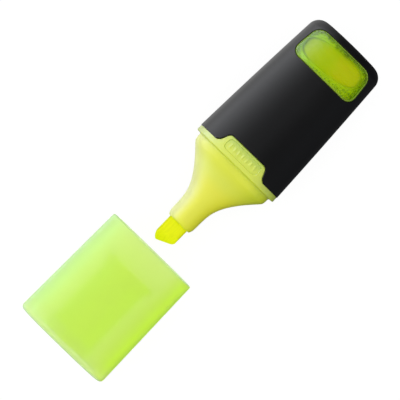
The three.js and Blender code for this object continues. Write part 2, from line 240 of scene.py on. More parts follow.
def slab(name, rings):
    """A closed mesh through rings with flat ends."""
    n, m = len(rings[0]), len(rings)
    faces = [
        (j * n + i, j * n + (i + 1) % n, (j + 1) * n + (i + 1) % n, (j + 1) * n + i)
        for j in range(m - 1)
        for i in range(n)
    ]
    faces.append(tuple(range(n)))
    faces.append(tuple((m - 1) * n + i for i in range(n)))
    ob = build(name, np.concatenate(rings).tolist(), faces)
    bm = bmesh.new()
    bm.from_mesh(ob.data)
    ends = [face for face in bm.faces if len(face.verts) > 4]
    bmesh.ops.triangulate(bm, faces=ends, ngon_method="BEAUTY")
    bm.to_mesh(ob.data)
    bm.free()
    return ob


def box_mesh(name, lo, hi):
    verts = [(x, y, z) for x in (lo[0], hi[0]) for y in (lo[1], hi[1]) for z in (lo[2], hi[2])]
    faces = [(0, 1, 3, 2), (4, 6, 7, 5), (0, 4, 5, 1), (2, 3, 7, 6), (0, 2, 6, 4), (1, 5, 7, 3)]
    return build(name, verts, faces)


def bake_modifiers(ob):
    depsgraph = bpy.context.evaluated_depsgraph_get()
    mesh = bpy.data.meshes.new_from_object(ob.evaluated_get(depsgraph))
    ob.modifiers.clear()
    ob.data = mesh


def combine(target, tool, operation="DIFFERENCE"):
    """Applies a boolean to target and discards the tool."""
    mod = target.modifiers.new("join", "BOOLEAN")
    mod.operation = operation
    mod.solver = "EXACT"
    mod.object = tool
    bpy.context.view_layer.update()
    bake_modifiers(target)
    bpy.data.objects.remove(tool)


def combine_both(target, tool, operation="DIFFERENCE"):
    """Applies a boolean on the upper face, then its mirror image on the lower."""
    mesh = tool.data.copy()
    mesh.transform(Matrix.Diagonal((1, 1, -1, 1)))
    mesh.flip_normals()
    low = link(tool.name + "_low", mesh)
    combine(target, tool, operation)
    combine(target, low, operation)


def tidy(ob, dist=0.006):
    """Merges the slivers that booleans leave."""
    bm = bmesh.new()
    bm.from_mesh(ob.data)
    bmesh.ops.remove_doubles(bm, verts=bm.verts, dist=dist)
    bmesh.ops.dissolve_degenerate(bm, edges=bm.edges, dist=dist * 0.5)
    loose = [vert for vert in bm.verts if not vert.link_faces]
    bmesh.ops.delete(bm, geom=loose, context="VERTS")
    bm.to_mesh(ob.data)
    bm.free()


def vertex_places(ob):
    return np.array([vert.co for vert in ob.data.vertices])


def set_attributes(ob, **values):
    for key, value in values.items():
        attribute = ob.data.attributes.new(key, "FLOAT", "POINT")
        attribute.data.foreach_set("value", value.astype(np.float32))


def finish_surface(ob, material, sharp):
    """Gives a mesh one material and smooth shading, with creases above sharp degrees."""
    for polygon in ob.data.polygons:
        polygon.use_smooth = True
    ob.data.set_sharp_from_angle(angle=math.radians(sharp))
    ob.data.materials.clear()
    ob.data.materials.append(material)


def place(ob, body, node, material, sharp=35.0):
    """Moves a mesh from the pen's frame in mm to the row frame in metres, and onto its body."""
    to_row = Matrix.Translation((SHIFT_X / 1000, 0, HALF_THICK / 1000)) @ Matrix.Scale(0.001, 4)
    ob.data.transform(to_row)
    finish_surface(ob, material, sharp)
    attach(ob, body)
    if node:
        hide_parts(node)


# ------------------------------------------------------------------ plan outlines, as (x, y)
def resample(points, step=0.24):
    """A closed outline as points about one step apart."""
    p = np.vstack([points, points[:1]])
    length = np.concatenate([[0], np.cumsum(np.hypot(*np.diff(p, axis=0).T))])
    count = max(8, int(round(length[-1] / step)))
    at = np.linspace(0, length[-1], count, endpoint=False)
    return np.stack([np.interp(at, length, p[:, 0]), np.interp(at, length, p[:, 1])], 1)


def with_mirror(half):
    """A closed outline from its +y half."""
    return np.vstack([half, half[::-1] * [1, -1]])


def outward(p):
    """Outward unit normals of a closed outline."""
    t = np.roll(p, -1, 0) - np.roll(p, 1, 0)
    normals = np.stack([t[:, 1], -t[:, 0]], 1)
    normals /= np.linalg.norm(normals, axis=1)[:, None]
    area = np.sum(p[:, 0] * np.roll(p[:, 1], -1) - np.roll(p[:, 0], -1) * p[:, 1])
    return normals if area > 0 else -normals


# the window's front and rear sides: x, half width, corner radius
WINDOW_FRONT = (28.0, 9.48, 2.1)
WINDOW_REAR = (37.17, 9.14, 2.95)


def window_outline(gap):
    """The rounded opening near the barrel's rear, its corners tightened by gap."""
    (front_x, front_y, front_r), (rear_x, rear_y, rear_r) = WINDOW_FRONT, WINDOW_REAR
    half = []
    for x, y, radius, start, stop in (
        (rear_x - rear_r, rear_y - rear_r, rear_r - gap, 0, 88),
        (front_x + front_r, front_y - front_r, front_r - gap, 88, 180),
    ):
        for t in np.radians(np.linspace(start, stop, 16)):
            half.append((x + radius * math.cos(t), y + radius * math.sin(t)))
    p = resample(with_mirror(np.array(half)))
    # the sides bow out a little, as the barrel does
    p[:, 1] *= 1 + 0.012 * bell(p[:, 0], middle=31.5, width=2.6)
    return p


# the +y half of the notch in the sleeve's front rim: x, y
NOTCH = np.array([
    (-3.0, 8.3), (-1.0, 8.2), (0.0, 8.12), (0.12, 7.88), (0.38, 7.52), (0.85, 7.0), (1.4, 6.74),
    (2.0, 6.48), (2.6, 6.22), (2.95, 6.0), (3.2, 5.65), (3.33, 5.3), (3.37, 4.9),
])


def notch_outline(gap):
    """The notch, drawn in by gap."""
    length = np.concatenate([[0], np.cumsum(np.hypot(*np.diff(NOTCH, axis=0).T))])
    at = np.linspace(0, length[-1], 90)
    half = np.stack([pchip(length, NOTCH[:, 0], at), pchip(length, NOTCH[:, 1], at)], 1)
    # light smoothing takes the last corners out of the S curve
    for _ in range(6):
        half[1:-1] = (half[:-2] + 2 * half[1:-1] + half[2:]) / 4
    p = resample(with_mirror(half), 0.2)
    return p - outward(p) * gap


def lay(points, height):
    """An outline laid on the surface height(x, y)."""
    return np.column_stack([points, height(points[:, 0], points[:, 1])])


def level(points, z):
    return np.column_stack([points, np.full(len(points), z)])


FIRST_ANGLE = 13  # degrees; the edge round starts a little off the face
LIFT = 0.35  # how far a tool flares out above the face


def follow(outline, inset, radius, sign=1):
    """Rings of a cutter (sign 1) or plug (sign -1), down to z = 0.

    Its side meets the barrel's face, drawn in by inset, in a quarter round.
    """
    normals = outward(outline)

    def sunk(offset, depth):
        return lay(outline + normals * offset, lambda x, y: barrel_z(x, y, inset) - depth)

    edge = sign * radius * (1 - math.sin(math.radians(FIRST_ANGLE)))
    if sign > 0:
        edge += LIFT
    rings = [level(outline + normals * edge, HALF_THICK + 3), sunk(edge, -LIFT)]
    for sine, drop in arc(FIRST_ANGLE, 90, 7):
        rings.append(sunk(sign * radius * (1 - sine), radius * drop))
    rings.append(level(outline, 0.0))
    return rings


def inward_rings(outline, height, spine_y, spine_x, steps):
    """Rings on height(x, y) that shrink from an outline to a spine across the width."""
    spine = np.full(len(outline), spine_x)
    target = np.column_stack([spine, np.clip(outline[:, 1], -spine_y, spine_y)])
    return [
        lay(outline + (target - outline) * s * 0.985, height)
        for s in np.linspace(0, 1, steps + 1)[1:]
    ]


# ------------------------------------------------------------------ node trees
def srgb(*levels):
    """0-255 display levels as linear values."""

    def linear(c):
        c /= 255
        return c / 12.92 if c <= 0.04045 else ((c + 0.055) / 1.055) ** 2.4

    return tuple(linear(c) for c in levels)


class Nodes:
    """Short forms for building the node tree of a material or world. Colours are RGB triples."""

    def __init__(self, owner):
        owner.use_nodes = True
        self.owner = owner
        self.tree = owner.node_tree
        self.tree.nodes.clear()

    def add(self, kind, inputs=None, **props):
        node = self.tree.nodes.new("ShaderNode" + kind)
        for key, value in props.items():
            setattr(node, key, value)
        for key, value in (inputs or {}).items():
            socket = node.inputs[key]
            if isinstance(value, bpy.types.NodeSocket):
                self.tree.links.new(value, socket)
            else:
                socket.default_value = (*value, 1) if socket.type == "RGBA" else value
        return node

    def out(self, kind, inputs=None, **props):
        """Adds a node and gives its first output."""
        return self.add(kind, inputs, **props).outputs[0]

    def math(self, op, a, b=0.0, c=0.0):
        return self.out("Math", {0: a, 1: b, 2: c}, operation=op)

    def mul(self, a, b):
        return self.math("MULTIPLY", a, b)

    def mul_add(self, value, factor, offset):
        return self.math("MULTIPLY_ADD", value, factor, offset)

    def invert(self, value):
        return self.math("SUBTRACT", 1.0, value)

    def fade(self, value, start, end, low=0.0, high=1.0):
        """Smooth change from low to high as value goes from start to end."""
        inputs = {
            "Value": value, "From Min": start, "From Max": end, "To Min": low, "To Max": high,
        }
        return self.out("MapRange", inputs, interpolation_type="SMOOTHSTEP")

    def mix(self, amount, a, b):
        # 0, 6, 7 and output 2 are the colour sockets of the Mix node
        return self.add("Mix", {0: amount, 6: a, 7: b}, data_type="RGBA").outputs[2]

    def layer(self, base, mask, strength, shade):
        """Lays shade over base where mask is, up to strength."""
        return self.mix(self.mul(mask, strength), base, shade)

    def axes(self, kind):
        """X, Y and Z of a texture coordinate."""
        return self.add("SeparateXYZ", {0: self.coords(kind)}).outputs

    def coords(self, kind):
        return self.add("TexCoord").outputs[kind]

    def noise(self, scale, detail=2.0, rough=0.5, stretch=(1, 1, 1)):
        mapping = self.out("Mapping", {"Vector": self.coords("Object"), "Scale": stretch})
        inputs = {"Vector": mapping, "Scale": scale, "Detail": detail, "Roughness": rough}
        return self.out("TexNoise", inputs)

    def ramp(self, value, stops):
        node = self.add("ValToRGB", {"Fac": value})
        elements = node.color_ramp.elements
        while len(elements) > 1:
            elements.remove(elements[-1])
        elements[0].position, elements[0].color = stops[0][0], (*stops[0][1], 1)
        for position, colour in stops[1:]:
            elements.new(position).color = (*colour, 1)
        return node.outputs["Color"]

    def bump(self, height, strength, distance):
        return self.out("Bump", {"Height": height, "Strength": strength, "Distance": distance})

    def attribute(self, name):
        return self.add("Attribute", attribute_name=name).outputs["Fac"]

    def facing(self, **inputs):
        return self.add("LayerWeight", inputs).outputs["Facing"]

    def emission(self, colour, strength):
        return self.out("Emission", {"Color": colour, "Strength": strength})

    def blend(self, amount, a, b):
        return self.out("MixShader", {0: amount, 1: a, 2: b})

    def sum(self, a, b):
        return self.out("AddShader", {0: a, 1: b})

    def principled(self, inputs):
        return self.finish(self.out("BsdfPrincipled", inputs))

    def finish(self, surface, output="OutputMaterial"):
        self.add(output, {"Surface": surface})
        return self.owner


def new_material(name):
    return Nodes(bpy.data.materials.new(name))


# ------------------------------------------------------------------ materials
def black_plastic():
    mat = new_material("black_satin_plastic")
    cloud = mat.noise(scale=140, detail=3, rough=0.55)
    grain = mat.noise(scale=5200, detail=2, rough=0.6)
    drag = mat.noise(scale=420, detail=3, rough=0.6, stretch=(0.12, 1.6, 1.6))
    height = mat.math("ADD", mat.mul(grain, 0.75), mat.mul(drag, 0.3))
    # painted shade: the shine is cut on the roll-off to the rear end, save where it turns to the
    # light
    turn = mat.axes("Normal")
    roll = mat.fade(turn["X"], start=0.03, end=0.4, high=0.22)
    towards = mat.fade(turn["Y"], start=0.04, end=0.2, high=0.65)
    # and the side away from the light gets a faint painted glow, standing in for light off the desk
    away = mat.fade(turn["Y"], start=-0.08, end=-0.45, high=0.0018)
    return mat.principled({
        "Base Color": mat.layer((0.0024, 0.0025, 0.0028), cloud, 0.8, (0.004, 0.004, 0.0043)),
        "Roughness": mat.math("ADD", mat.mul(cloud, 0.07), mat.mul_add(drag, 0.06, 0.36)),
        "Normal": mat.bump(height, strength=0.14, distance=0.00004),
        "IOR": 1.46,
        "Specular IOR Level": mat.math("SUBTRACT", 0.36, mat.mul(roll, mat.invert(towards))),
        "Emission Color": (0.9, 1.0, 1.25),
        # painted glow on the side away from the light
        "Emission Strength": away,
    })


def lime_plastic():
    mat = new_material("lime_matte_plastic")
    cloud = mat.noise(scale=110, detail=3, rough=0.5)
    grain = mat.noise(scale=4200, detail=2, rough=0.55)
    flow = mat.noise(scale=180, detail=3, rough=0.55, stretch=(0.25, 1, 1))

    # masks by the way the surface turns: +y is towards the light
    across = mat.axes("Normal")["Y"]
    lit_side = mat.fade(across, start=0.1, end=0.85)
    far_side = mat.fade(across, start=-0.1, end=-0.6)
    steep = mat.fade(mat.math("ABSOLUTE", across), start=0.08, end=0.62)
    edge_on = mat.fade(mat.axes("Normal")["Z"], start=0.8, end=0.35)
    # masks by place: collar, the cone just in front of it, thin tube, tab, and the tab's panel
    along = mat.axes("Object")["X"]
    band = mat.fade(along, start=pen_x(-2.2), end=pen_x(-1.3))
    core = mat.fade(along, start=pen_x(-7.0), end=pen_x(-3.4))
    core = mat.mul(core, mat.invert(band))
    tube = mat.fade(along, start=pen_x(-6.0), end=pen_x(-10.0))
    tab = mat.fade(along, start=pen_x(0.6), end=pen_x(3.0))
    width = mat.math("ABSOLUTE", mat.axes("Object")["Y"])
    sunk = mat.fade(width, start=0.0056, end=0.0051)

    colour = mat.mix(cloud, srgb(228, 236, 20), srgb(234, 241, 36))
    colour = mat.layer(colour, flow, 0.25, srgb(214, 226, 20))
    # the ink-wet core shows through as a purer yellow, the thick collar reads a shade greener,
    # and the thin tube is a warmer yellow
    colour = mat.layer(colour, core, 0.8, srgb(227, 234, 0))
    colour = mat.layer(colour, band, 0.85, srgb(217, 230, 46))
    colour = mat.layer(colour, tube, 0.6, srgb(241, 236, 24))
    # painted highlight: the side towards the light is painted paler, standing in for light spreading
    # inside the thin wall
    pale = mat.mix(tube, (0.69, 0.72, 0.15), (0.61, 0.635, 0.2))
    colour = mat.layer(colour, lit_side, mat.mul_add(band, -0.5, 0.85), pale)
    # the tab is backed by the dark sleeve's inside, and its sunk panel is painted darkest, as painted
    # shade in the recess
    colour = mat.layer(colour, tab, 0.5, srgb(196, 216, 60))
    colour = mat.layer(colour, mat.mul(sunk, tab), 0.6, srgb(176, 206, 60))
    # painted shade: the cone's far side is painted darker beside the collar, and so are the collar's
    # steep ends
    colour = mat.layer(colour, mat.mul(far_side, core), 0.6, srgb(190, 210, 20))
    colour = mat.layer(colour, mat.mul(steep, band), 0.72, srgb(172, 192, 72))

    # painted glow: in front of the collar, the steep flank towards the light is made to glow,
    # standing in for light passed on from behind
    painted_glow = mat.mul(mat.fade(across, start=0.2, end=0.6, high=0.14), edge_on)
    shine = mat.mul_add(core, -0.35, mat.mul_add(tube, -0.25, 1.0))
    return mat.principled({
        "Base Color": colour,
        "Roughness": mat.mul_add(flow, 0.12, 0.4),
        "Normal": mat.bump(grain, strength=0.12, distance=0.00003),
        "IOR": 1.6,
        "Specular IOR Level": shine,
        "Specular Tint": (0.85, 0.92, 1.0),
        "Coat Weight": 0.8,
        "Coat Roughness": 0.5,
        "Subsurface Weight": 0.5,
        "Subsurface Radius": (1.0, 0.95, 0.25),
        "Subsurface Scale": 0.0018,
        "Emission Color": (0.93, 1.0, 0.38),
        "Emission Strength": mat.mul(painted_glow, mat.invert(band)),
    })


def nib_fibre():
    mat = new_material("nib_fibre")
    fibres = mat.noise(scale=2600, detail=4, rough=0.6, stretch=(0.07, 1, 1))
    pores = mat.noise(scale=3600, detail=3, rough=0.6)
    stops = [(0.28, srgb(224, 228, 0)), (0.52, srgb(233, 236, 0)), (0.76, srgb(238, 240, 6))]
    height = mat.math("ADD", fibres, mat.mul(pores, 0.5))
    return mat.principled({
        "Base Color": mat.ramp(fibres, stops),
        "Roughness": 0.6,
        "Normal": mat.bump(height, strength=0.2, distance=0.00005),
        "Specular IOR Level": 0.2,
        # faint painted glow over the whole nib
        "Emission Color": srgb(225, 240, 0),
        "Emission Strength": 0.06,
    })


def frosted(name, tint, body, clear, rough, gloss, haze, mouth=0.0, pale_end=0.0, rims=0.0):
    """Frosted moulding: some light goes straight through, tinted; the rest scatters both ways.

    tint colours the light let through and body the scattered light; clear is the share let
    through and haze how much of that is blurred; rough and gloss set the shine. mouth adds
    clearness at the cap's mouth; pale_end pales the closed end, and rims sets the painted
    highlight and glow on the rounded rims. The scattered light also carries a painted glow, and
    the sides towards and away from the light get painted tints.
    """
    mat = new_material(name)
    cloud = mat.noise(scale=90, detail=3, rough=0.5)
    grain = mat.noise(scale=3800, detail=2, rough=0.55)
    flow = mat.noise(scale=150, detail=3, rough=0.55, stretch=(0.2, 1, 1))

    def tone(red, green, blue):
        return (body[0] * red, body[1] * green, body[2] * blue)

    # painted light: the side towards the light is painted minty and paler, and the far side painted
    # deeper and more saturated
    across = mat.axes("Normal")["Y"]
    lit_side = mat.fade(across, start=0.15, end=0.95)
    far_side = mat.fade(across, start=-0.25, end=-0.95)
    shade = mat.layer(body, cloud, 0.5, tone(0.93, 0.93, 0.93))
    shade = mat.layer(shade, lit_side, 0.8, tone(0.87, 0.89, 4.0))
    shade = mat.layer(shade, far_side, 0.8, tone(0.93, 1.07, 0.15))
    # thick plastic at the closed end looks paler
    along = mat.axes("Object")["X"]
    pale = mat.fade(along, start=pen_x(CAP_CLOSED + 6.0), end=pen_x(CAP_CLOSED + 0.5), high=pale_end)
    shade = mat.mix(pale, shade, tone(1.02, 0.97, 2.4))
    # painted highlight: the rounded rims are painted palest, and below they get extra painted glow
    ends = mat.math("ABSOLUTE", mat.axes("Normal")["X"])
    ends = mat.fade(ends, start=0.2, end=0.85, high=rims)
    shade = mat.mix(ends, shade, tone(0.86, 0.86, 5.5))

    height = mat.math("ADD", grain, mat.mul(flow, 0.4))
    bump = mat.bump(height, strength=0.1, distance=0.00003)
    facing = mat.facing(Blend=0.5, Normal=bump)
    diffuse = mat.out("BsdfDiffuse", {"Color": shade, "Normal": bump})
    through = mat.out("BsdfTranslucent", {"Color": shade, "Normal": bump})
    # painted glow: the scattered colour is given off as light, more at the rims and on the far side,
    # less at grazing angles
    painted_glow = mat.mul_add(ends, 0.3, mat.mul_add(far_side, 0.22, 1.0))
    painted_glow = mat.mul(mat.mul_add(facing, -0.3, painted_glow), 0.72)
    lit = mat.sum(mat.blend(0.5, diffuse, through), mat.emission(shade, painted_glow))

    straight = mat.out("BsdfTransparent", {"Color": tint})
    blurred = {"Color": tint, "Roughness": 0.7, "IOR": 1.16, "Normal": bump}
    see = mat.blend(haze, straight, mat.out("BsdfGlass", blurred))

    # the wall lets more through towards the mouth and less at grazing angles, and painted shade lets
    # less through on the far side; the solid end wall is denser than the hollow part
    thin = mat.fade(along, start=pen_x(CAP_MOUTH - 13), end=pen_x(CAP_MOUTH - 3), high=mouth)
    amount = mat.math("ADD", mat.mul_add(flow, 0.04, clear - 0.02), thin)
    amount = mat.mul(amount, mat.mul_add(facing, -0.5, 1.0))
    amount = mat.mul(amount, mat.mul_add(far_side, -0.7, 1.0))
    end = mat.fade(along, start=pen_x(CAP_CLOSED + 2.2), end=pen_x(CAP_CLOSED + 1.1), high=0.2)
    amount = mat.mul(amount, mat.invert(end))

    shine = mat.mul_add(cloud, 0.1, rough)
    inputs = {"Color": (0.66, 0.92, 1), "Roughness": shine, "Normal": bump}
    glossy = mat.out("BsdfGlossy", inputs)
    fresnel = mat.math("MINIMUM", mat.out("Fresnel", {"IOR": 1.45, "Normal": bump}), 0.14)
    return mat.finish(mat.blend(mat.mul(fresnel, gloss), mat.blend(amount, lit, see), glossy))


DIM_INK = srgb(34, 58, 2)  # painted shade: the ink's colour where its "dim" attribute is full


def clear_plastic():
    """Clear plastic; attributes rim, edge and dim mark a painted pale line along the rim, carried ink
    colour and painted shade on the ink.
    """
    mat = new_material("clear_tank_plastic")
    cloud = mat.noise(scale=160, detail=3, rough=0.5)
    ripple = mat.noise(scale=700, detail=2, rough=0.5)
    bump = mat.bump(ripple, strength=0.04, distance=0.00002)
    see = mat.out("BsdfTransparent", {"Color": (0.965, 0.985, 0.93)})
    inputs = {"Color": (1, 1, 1), "Roughness": mat.mul_add(cloud, 0.08, 0.13), "Normal": bump}
    glossy = mat.out("BsdfGlossy", inputs)
    # towards its sides the thick clear block carries the colour of the ink beside it, with a faint
    # painted glow and the ink's painted shade
    stops = [(0.3, srgb(118, 160, 4)), (0.55, srgb(146, 190, 8)), (0.75, srgb(166, 208, 20))]
    ink = mat.ramp(mat.noise(scale=650, detail=3, rough=0.6), stops)
    ink = mat.layer(ink, mat.attribute("dim"), 0.85, DIM_INK)
    carried = mat.sum(mat.out("BsdfDiffuse", {"Color": ink}), mat.emission(ink, strength=0.2))
    graze = mat.fade(mat.facing(Blend=0.5), start=0.42, end=0.85, high=0.8)
    filled = mat.blend(mat.math("MAXIMUM", mat.attribute("edge"), graze), see, carried)
    # painted highlight: a pale line along the block's rim
    haze = mat.out("BsdfDiffuse", {"Color": srgb(186, 208, 104)})
    rim_highlighted = mat.blend(mat.mul(mat.attribute("rim"), 0.55), filled, haze)
    # painted sheen: the sky's reflection is made stronger where the block turns towards the light
    outer = mat.fade(mat.axes("Normal")["Y"], start=0.0, end=0.4, low=0.2, high=0.75)
    inside = mat.add("NewGeometry").outputs["Backfacing"]
    outer = mat.mul(outer, mat.mul_add(inside, -0.85, 1.0))
    fresnel = mat.out("Fresnel", {"IOR": 1.49, "Normal": bump})
    return mat.finish(mat.blend(mat.mul(fresnel, outer), rim_highlighted, glossy))


def ink_liquid():
    """Ink; attributes bubble, rim_line, froth and dim mark the large bubble and its surroundings; dim
    is painted shade.
    """
    mat = new_material("fluorescent_ink")
    coords = mat.coords("Object")
    # small wobbly dots and faint patches where froth gathers
    wobble = mat.add("TexNoise", {"Vector": coords, "Scale": 900.0, "Detail": 2.0})
    moved = mat.out("MixRGB", {0: 0.00035, 1: coords, 2: wobble.outputs["Color"]})
    spot = mat.out("TexVoronoi", {"Vector": moved, "Scale": 1150.0}, feature="F1")
    dots = mat.ramp(spot, [(0.22, (1, 1, 1)), (0.42, (0.3, 0.3, 0.3)), (0.56, (0, 0, 0))])
    patches = mat.noise(scale=520, detail=3, rough=0.6)
    patches = mat.ramp(patches, [(0.4, (0, 0, 0)), (0.6, (1, 1, 1))])
    murk = mat.mul_add(dots, 0.7, mat.mul(patches, 0.12))
    murk = mat.mul(murk, mat.attribute("froth"))
    # painted light: the liquid is painted lighter and greener across the width, towards +y, the side
    # towards the light
    stops = [(0.3, srgb(144, 172, 0)), (0.55, srgb(158, 184, 0)), (0.75, srgb(172, 200, 6))]
    liquid = mat.ramp(mat.noise(scale=700, detail=3, rough=0.6), stops)
    y = mat.add("SeparateXYZ", {0: coords}).outputs["Y"]
    across = mat.out("MapRange", {"Value": y, "From Min": -0.008, "From Max": 0.008})
    liquid = mat.layer(liquid, mat.mul(across, across), 0.8, srgb(176, 226, 34))
    liquid = mat.mix(murk, liquid, srgb(88, 118, 4))
    # inside the large bubble
    swirl = mat.noise(scale=260, detail=4, rough=0.6)
    stops = [(0.25, srgb(166, 174, 0)), (0.55, srgb(174, 174, 0)), (0.8, srgb(182, 164, 0))]
    warm = mat.ramp(swirl, stops)
    stops = [(0.25, srgb(150, 180, 0)), (0.55, srgb(160, 186, 2)), (0.8, srgb(172, 188, 4))]
    cool = mat.ramp(swirl, stops)
    colour = mat.mix(mat.attribute("bubble"), liquid, mat.mix(across, warm, cool))
    colour = mat.layer(colour, mat.attribute("rim_line"), 0.85, srgb(86, 122, 14))
    # painted shade along the window's rear edge, and the dark blots
    colour = mat.layer(colour, mat.attribute("dim"), 0.85, DIM_INK)
    return mat.principled({
        "Base Color": colour,
        "Roughness": 0.24,
        "IOR": 1.33,
        "Specular IOR Level": 0.1,
        # painted glow: the ink gives off its own colour as light
        "Emission Color": colour,
        "Emission Strength": 0.25,
    })


def foam_film():
    mat = new_material("foam_film")
    # colour painted by viewing angle, darkest facing the view and paler towards each bubble's rim,
    # with a faint painted glow
    stops = [(0.0, srgb(118, 150, 8)), (0.4, srgb(142, 178, 14)), (0.8, srgb(172, 210, 34))]
    colour = mat.ramp(mat.facing(Blend=0.35), stops)
    cloud = mat.noise(scale=900, detail=2, rough=0.5)
    colour = mat.layer(colour, cloud, 0.3, srgb(150, 190, 20))
    return mat.principled({
        "Base Color": colour,
        "Roughness": 0.15,
        "IOR": 1.36,
        "Emission Color": colour,
        "Emission Strength": 0.15,
    })


def natural_plastic():
    mat = new_material("natural_plastic")
    cloud = mat.noise(scale=130, detail=3, rough=0.5)
    grain = mat.noise(scale=3000, detail=2, rough=0.5)
    return mat.principled({
        "Base Color": mat.mix(cloud, srgb(232, 232, 222), srgb(243, 243, 236)),
        "Roughness": mat.mul_add(cloud, 0.15, 0.38),
        "Normal": mat.bump(grain, strength=0.1, distance=0.00003),
        "Subsurface Weight": 0.2,
        "Subsurface Radius": (1, 1, 0.9),
        "Subsurface Scale": 0.001,
    })


def wick_fibre():
    mat = new_material("wick_fibre")
    fibres = mat.noise(scale=1800, detail=4, rough=0.6, stretch=(0.06, 1, 1))
    return mat.principled({
        "Base Color": mat.ramp(fibres, [(0.3, srgb(196, 212, 20)), (0.7, srgb(238, 244, 96))]),
        "Roughness": 0.85,
        "Normal": mat.bump(fibres, strength=0.5, distance=0.0001),
    })


def seal_rubber():
    mat = new_material("seal_elastomer")
    cloud = mat.noise(scale=200, detail=3, rough=0.6)
    grain = mat.noise(scale=2600, detail=2, rough=0.5)
    return mat.principled({
        "Base Color": mat.mix(cloud, (0.02, 0.02, 0.02), (0.045, 0.045, 0.045)),
        "Roughness": mat.mul_add(cloud, 0.2, 0.6),
        "Normal": mat.bump(grain, strength=0.2, distance=0.00004),
    })


BLACK = black_plastic()
LIME = lime_plastic()
NIB = nib_fibre()
CLEAR = clear_plastic()
INK = ink_liquid()
FOAM = foam_film()
NATURAL = natural_plastic()
WICK = wick_fibre()
SEAL = seal_rubber()
CAP = frosted(
    "frosted_cap_plastic", tint=(0.96, 0.995, 0.86), body=(0.455, 0.575, 0.05), clear=0.6,
    rough=0.42, gloss=1.5, haze=0.85, mouth=0.05, pale_end=0.7, rims=0.85,
)
LINER = frosted(
    "liner_plastic", tint=(0.96, 0.99, 0.72), body=(0.455, 0.575, 0.018), clear=0.75,
    rough=0.4, gloss=0.4, haze=0.0,
)


# ------------------------------------------------------------------ barrel sleeve
def make_sleeve():
    rim, inner_round = 0.14, 2.0
    # outside, from the middle of the crowned rear end forwards
    half_y = half_width(BARREL_END - END_CROWN) - END_RADIUS
    half_z = HALF_THICK - END_RADIUS
    rings = [
        section(BARREL_END - END_CROWN * s * s, half_y * s, half_z * s) for s in end_scales(14)
    ]
    for sine, drop in arc(86, 0, 16):
        rings.append(plain_section(STRAIGHT + END_RADIUS * sine, END_RADIUS * drop))
    rings += [barrel_section(x, 0) for x in np.linspace(STRAIGHT - 0.6, 0.6, 60)]
    # round the front rim and back along the inside
    for sine, drop in arc(0, 90, 6):
        rings.append(barrel_section(rim * (1 - sine), rim * drop))
    rings += [barrel_section(0, SLEEVE_WALL - 0.1), barrel_section(0.1, SLEEVE_WALL)]
    rings += [barrel_section(x, SLEEVE_WALL) for x in np.linspace(1.0, STRAIGHT, 24)]
    for sine, drop in arc(15, 85, 6):
        rings.append(plain_section(STRAIGHT + inner_round * sine, SLEEVE_WALL + inner_round * drop))
    half_y, half_z = half_width(38) - 3.2, HALF_THICK - 3.2
    for s in (0.9, 0.5, 0.1):
        rings.append(section(BARREL_END - SLEEVE_END_WALL, half_y * s, half_z * s))
    sleeve = from_rings("sleeve_moulding", rings)
    combine_both(sleeve, slab("cut_window", follow(window_outline(0), 0, 0.2)))
    combine_both(sleeve, slab("cut_notch", follow(notch_outline(0), 0, 0.14)))
    tidy(sleeve)
    place(sleeve, "pen", "barrel_sleeve", BLACK, sharp=32)


# ------------------------------------------------------------------ front section
TUBE_RADIUS = 3.8  # the thin tube round the nib
LAND_Y, LAND_Z = 11.52, 6.8  # half width and thickness of the step in front of the collar
# the nose's profile: x, half width
NOSE = np.array([
    (-20.1, 3.72), (-19.4, 3.8), (-17.5, 3.83), (-15.8, 3.93), (-14.5, 4.1), (-13.4, 4.38),
    (-12.2, 4.84), (-11.0, 5.42), (-9.8, 6.16), (-8.6, 7.0), (-7.4, 7.92), (-6.2, 8.95),
    (-5.0, 10.03), (-4.1, 10.87), (-3.6, 11.26), (-3.1, 11.45), (-2.6, LAND_Y),
])
# the rounded front lip of the tube: x, half width
LIP = (
    (-21.1, 3.12), (-21.08, 3.24), (-20.98, 3.36), (-20.8, 3.46), (-20.55, 3.56), (-20.3, 3.65),
)
# the fillet and flat in front of the collar: distance in front of it, share of the step climbed
COLLAR_STEP = (
    (0.34, 0.015), (0.2, 0.06), (0.09, 0.14), (0.02, 0.27), (0.0, 0.4), (0.0, 0.6),
)
COLLAR_EDGE = 0.26  # radius of the collar's front edge
# the hollow from the skirt's rear forwards to the nib's bore: x, half width, half thickness, power
HOLLOW = (
    (SKIRT_END, 10.23, 5.85), (4, 10.33, 5.85), (0, 10.46, 5.85), (-3, 10.26, 5.6),
    (-5, 8.8, 5.1, 2.4), (-7, 6.9, 4.4, 2.3), (-8.1, 5.6, 3.8, 2.2),
    (-8.1, NIB_Y + 0.05, NIB_Z + 0.05, NIB_POWER), (-20.9, NIB_Y + 0.05, NIB_Z + 0.05, NIB_POWER),
    (-21.05, NIB_Y + 0.1, NIB_Z + 0.1, NIB_POWER),
)
# the +y half of the panel sunk into each tab: x, y
PANEL = np.array([
    (-0.28, 4.0), (-0.22, 4.55), (0.0, 4.95), (0.35, 5.2), (0.8, 5.28), (1.6, 5.24),
    (2.1, 5.12), (2.45, 4.85), (2.62, 4.45), (2.66, 4.0),
])
PANEL_DEPTH = 0.22
RIB_X, RIB_PITCH, RIB_HALF_X, RIB_HALF_Y, RIB_HEIGHT = 1.2, 1.3, 0.75, 0.25, 0.09


def nose_section(x, half_y=None):
    """Round at the tube, and changing to the oblong of the step as it widens."""
    if half_y is None:
        half_y = float(pchip(NOSE[:, 0], NOSE[:, 1], x))
    share = max(0.0, (half_y - TUBE_RADIUS) / (LAND_Y - TUBE_RADIUS))
    half_z = half_y if half_y < TUBE_RADIUS else TUBE_RADIUS + (LAND_Z - TUBE_RADIUS) * share
    return section(x, half_y, half_z, 2 + (POWER - 2) * share)


